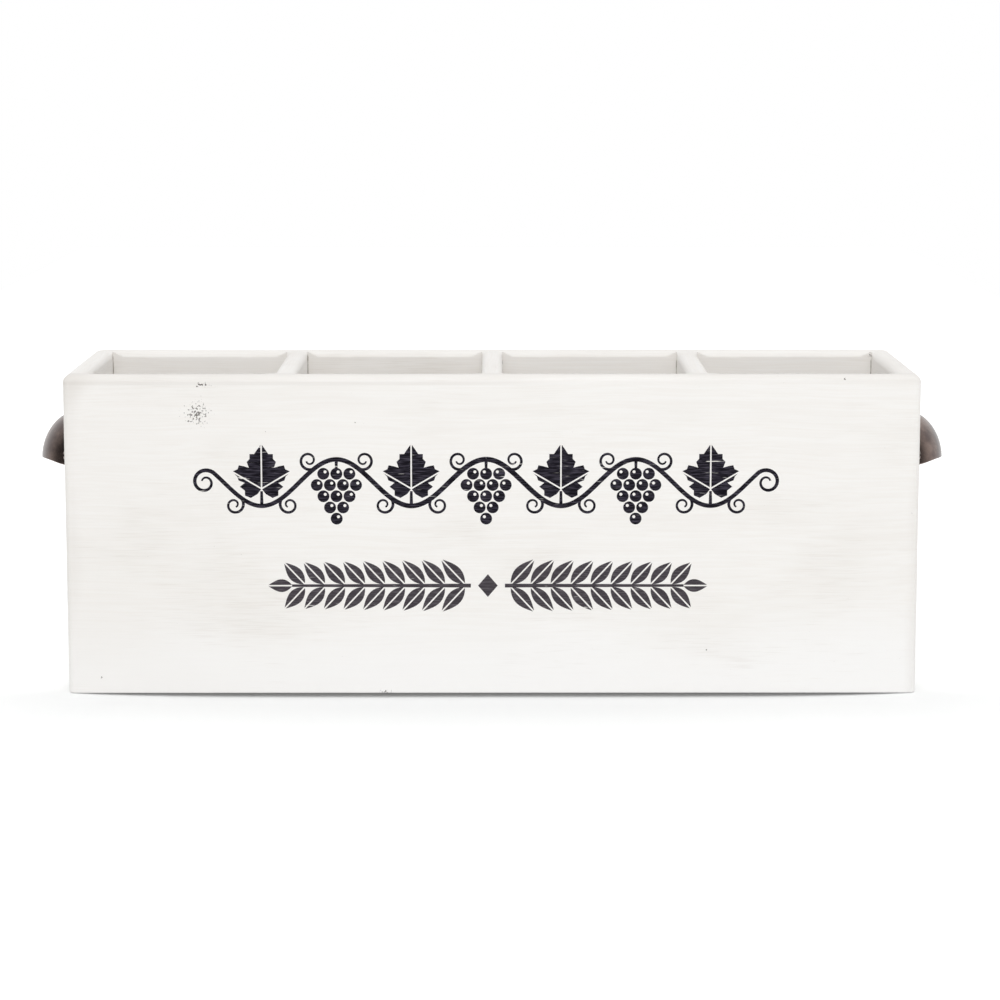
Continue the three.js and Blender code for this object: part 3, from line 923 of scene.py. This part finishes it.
# %% Both handles
def cup_handle(node, sign):
    """The handle that stands for one CAD node; sign is the way it reaches out."""
    swing_steps = 64
    pole = 0.004
    swings = [pole + (math.pi - 2 * pole) * i / swing_steps for i in range(swing_steps + 1)]
    bm = bmesh.new()
    loft(bm, [shell_section(swing) for swing in swings])
    loft(bm, [flange_section(math.pi * i / swing_steps) for i in range(swing_steps + 1)])
    for name in ("front", "back"):
        screw_low, screw_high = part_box("handle_screw_right_" + name)
        centre_y = (screw_low.y + screw_high.y) / 2
        loft(bm, [ear_outline(centre_y, x, inset) for x, inset in eased_edge])
    turn = Matrix.Rotation(0 if sign > 0 else math.pi, 4, "Z")
    move = Matrix.Translation((sign * half_length, 0, flange_z))
    bmesh.ops.transform(bm, matrix=move @ turn, verts=bm.verts)
    handle = new_object("bronze_" + node, bm)
    shade(handle, sharp_angle=45)
    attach(handle, "root")
    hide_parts(node)
    return handle


handles = [cup_handle("left_cup_handle", -1), cup_handle("right_cup_handle", 1)]
print("handle faces:", [len(handle.data.polygons) for handle in handles])

# %% [markdown]
# Antique bronze is a cast alloy with a dark chemical patina under wax. Hands rub the patina thin,
# so warm brown shows in slow clouds over near black. It is a metal: fully metallic, the default
# IOR, and a satin roughness that varies with the patina. The brads are plain drawn steel wire, a
# dull even grey.

# %% Antique bronze and drawn steel
def rubbed_metal(name, dark, rubbed, cloud_size, roughness):
    """A metal whose colour runs in clouds between its dark skin and the rubbed metal."""
    material, tree = new_material(name)
    place = add(tree, "ShaderNodeTexCoord", out="Object")
    cloudy = {"Vector": place, "Scale": 1 / cloud_size, "Detail": 4.0, "Roughness": 0.6}
    clouds = add(tree, "ShaderNodeTexNoise", cloudy)
    colour = veil(tree, linear(dark), rubbed, clouds, 0.38, 0.7, 1.0)
    # Casting pores of about 0.3 mm are drawn at 0.8 mm, or they would not show.
    pores = add(tree, "ShaderNodeTexNoise", {"Vector": place, "Scale": 1 / (0.8 * MM), "Detail": 2.0})
    bump = add(tree, "ShaderNodeBump", {"Strength": 0.12, "Distance": 0.1 * MM, "Height": pores})
    satin = add(
        tree,
        "ShaderNodeMapRange",
        {"Value": clouds, "To Min": roughness[0], "To Max": roughness[1]},
    )
    metal = add(
        tree,
        "ShaderNodeBsdfPrincipled",
        {"Base Color": colour, "Metallic": 1.0, "Roughness": satin, "Normal": bump},
    )
    add(tree, "ShaderNodeOutputMaterial", {"Surface": metal})
    return material


bronze = rubbed_metal("waxed_antique_bronze", "#625653", "#877770", 10 * MM, (0.2, 0.3))
steel = rubbed_metal("drawn_steel_wire", "#8d8e90", "#b4b5b6", 2 * MM, (0.3, 0.4))
for handle in handles:
    handle.data.materials.append(bronze)
for name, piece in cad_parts.items():
    if name.startswith("handle_screw"):
        piece.data.materials.clear()
        piece.data.materials.append(bronze)
    if name.startswith("brad"):
        piece.data.materials.clear()
        piece.data.materials.append(steel)
print("bronze and steel are on")

# %% [markdown]
# ## The set
# The box stands on white paper. The paper sags a little between the two ends of the box, so a
# thin dark gap opens under the middle of the front. A grid of faces that dips there gives that.

# %% The paper floor
SAG = 2.3 * MM
SAG_RUN_OUT = 45 * MM
GRID = 10 * MM


def sag(x, y):
    """How far the paper hangs below the ends of the box."""
    across = max(0.0, 1 - abs(x / half_length) ** 5)
    away = max(0.0, abs(y) - half_depth) / SAG_RUN_OUT
    return -SAG * across * math.exp(-away * away)


floor_bm = bmesh.new()
fine = [i * GRID for i in range(-40, 41)]
across = [-0.6] + fine + [0.6]
ahead = [-1.2] + fine + [3.0]
rows = [[floor_bm.verts.new((x, y, sag(x, y))) for x in across] for y in ahead]
for low, high in zip(rows, rows[1:]):
    for k in range(len(across) - 1):
        floor_bm.faces.new((low[k], low[k + 1], high[k + 1], high[k]))
paper = new_object("paper_floor", floor_bm)
paper.data.shade_smooth()
print("paper faces:", len(paper.data.polygons))

# %% [markdown]
# A photographer lifts the paper to pure white and keeps the soft shadow at the foot of the box. A
# little glow does that here: painted light on the paper. Only rays that show the paper to the eye meet
# it, so it lights nothing. It is least round the foot, grows outwards, and is lifted once more beside
# the rear half of both ends, where it paints out the soft box's shadow.

# %% The paper's material
SHADOW_HALF = (178 * MM, 78 * MM, 0.0)
GLOW_RUN = 300 * MM
LEAST_GLOW = 0.105
MOST_GLOW = 0.6
REAR_GLOW = 0.22


def looked_at(tree):
    """One for rays that show a thing to the eye: straight, mirrored or through glass."""
    seen = add(tree, "ShaderNodeLightPath", out="Is Camera Ray")
    for kind in ("Is Glossy Ray", "Is Transmission Ray"):
        other = add(tree, "ShaderNodeLightPath", out=kind)
        seen = add(tree, "ShaderNodeMath", {0: seen, 1: other}, operation="MAXIMUM")
    return seen


def foot_glow(tree, place):
    """A glow that grows with the distance from the foot of the box."""
    away = add(tree, "ShaderNodeVectorMath", {0: place}, operation="ABSOLUTE")
    away = add(tree, "ShaderNodeVectorMath", {0: away, 1: SHADOW_HALF}, operation="SUBTRACT")
    away = add(tree, "ShaderNodeVectorMath", {0: away, 1: (0.0, 0.0, 0.0)}, operation="MAXIMUM")
    away = add(tree, "ShaderNodeVectorMath", {0: away}, operation="LENGTH")
    growth = {"Value": away, "From Max": GLOW_RUN, "To Min": LEAST_GLOW, "To Max": MOST_GLOW}
    return add(tree, "ShaderNodeMapRange", growth)


def rear_glow(tree, place, glow):
    """The glow with more of it beside the rear half of both ends, painted light over the soft box's
    shadow.
    """
    back = {0: place, 1: (0.0, half_depth, 0.0)}
    rear = add(tree, "ShaderNodeVectorMath", back, operation="SUBTRACT")
    rear = add(tree, "ShaderNodeVectorMath", {0: rear}, operation="ABSOLUTE")
    x = add(tree, "ShaderNodeSeparateXYZ", {"Vector": rear}, out="X")
    y = add(tree, "ShaderNodeSeparateXYZ", {"Vector": rear}, out="Y")
    rise = {"Value": x, "From Min": 165 * MM, "From Max": 222 * MM, "To Max": REAR_GLOW}
    fall = {"Value": y, "From Min": 85 * MM, "From Max": 130 * MM, "To Min": 1.0, "To Max": 0.0}
    past_end = add(tree, "ShaderNodeMapRange", rise, interpolation_type="SMOOTHSTEP")
    past_side = add(tree, "ShaderNodeMapRange", fall, interpolation_type="SMOOTHSTEP")
    return add(tree, "ShaderNodeMath", {0: past_end, 1: past_side, 2: glow}, operation="MULTIPLY_ADD")


paper_material, paper_tree = new_material("matt_white_paper")
paper_place = add(paper_tree, "ShaderNodeTexCoord", out="Object")
all_glow = rear_glow(paper_tree, paper_place, foot_glow(paper_tree, paper_place))
seen_glow = {0: all_glow, 1: looked_at(paper_tree)}
glow = add(paper_tree, "ShaderNodeMath", seen_glow, operation="MULTIPLY")
paper_surface = add(
    paper_tree,
    "ShaderNodeBsdfPrincipled",
    {
        "Base Color": linear("#ebecec"),
        "Roughness": 1.0,
        "Specular IOR Level": 0.0,
        "Emission Color": linear("#ffffff"),
        "Emission Strength": glow,
    },
)
add(paper_tree, "ShaderNodeOutputMaterial", {"Surface": paper_surface})
paper.data.materials.append(paper_material)
print("paper nodes:", len(paper_tree.nodes))

# %% [markdown]
# ## The light
# The box stands in a white tent that lights it evenly from all sides. What the camera sees of the
# tent is plain white. The handles mirror it: bright at the back, and dark towards the front, where
# the tent is open. Metal has no colour but what it mirrors, so this dark opening models its form.

# %% The white tent
TENT_LIGHT = 0.8
BRIGHT_SIDE = (0.25, 0.97, 0.0)
world = bpy.data.worlds.new("white_room")
bpy.context.scene.world = world
world.use_nodes = True
room = world.node_tree
room.nodes.clear()
way = add(room, "ShaderNodeTexCoord", out="Generated")
toward = add(room, "ShaderNodeVectorMath", {0: way, 1: BRIGHT_SIDE}, operation="DOT_PRODUCT")
mirrored = add(
    room,
    "ShaderNodeMapRange",
    {"Value": toward, "From Min": -0.42, "From Max": 0.6, "To Min": 0.13, "To Max": 1.0},
    interpolation_type="SMOOTHSTEP",
)
walls_seen = {"Factor": looked_at(room), "A": TENT_LIGHT, "B": mirrored}
walls_light = add(room, "ShaderNodeMix", walls_seen)
seen = add(room, "ShaderNodeLightPath", out="Is Camera Ray")
strength = add(room, "ShaderNodeMath", {0: walls_light, 1: seen}, operation="MAXIMUM")
tent = add(room, "ShaderNodeBackground", {"Color": linear("#ffffff"), "Strength": strength})
add(room, "ShaderNodeOutputWorld", {"Surface": tent})
print("tent nodes:", len(room.nodes))

# %% [markdown]
# A soft box stands in front and above, over the middle of the box. It lifts the front over the
# insides of the compartments, which see less of the tent.

# %% The soft box
lamp_data = bpy.data.lights.new("soft_box", "AREA")
lamp_data.shape = "RECTANGLE"
lamp_data.size = 1.5
lamp_data.size_y = 1.0
lamp_data.energy = 17.1
lamp = bpy.data.objects.new("soft_box", lamp_data)
lamp.location = (0.0, -1.75, 1.85)
aim = Vector((0.0, 0.0, 0.08)) - lamp.location
lamp.rotation_euler = aim.to_track_quat("-Z", "Y").to_euler()
bpy.context.scene.collection.objects.link(lamp)

bpy.context.scene.view_settings.view_transform = "Standard"
print("soft box in watts:", lamp_data.energy)

# %% [markdown]
# ## The camera
# The picture was taken with a long lens from a little above the box, nearly square to its front.

# %% The camera
lens_data = bpy.data.cameras.new("long_lens")
lens_data.sensor_width = 36.0
lens_data.lens = 109.8
camera = bpy.data.objects.new("camera", lens_data)
camera.location = (0.47 * MM, -1471.25 * MM, 306.75 * MM)
camera.rotation_euler = (math.radians(90 - 8.641), 0.0, math.radians(-0.131))
bpy.context.scene.collection.objects.link(camera)
bpy.context.scene.camera = camera
print("camera at", [round(value, 3) for value in camera.location])
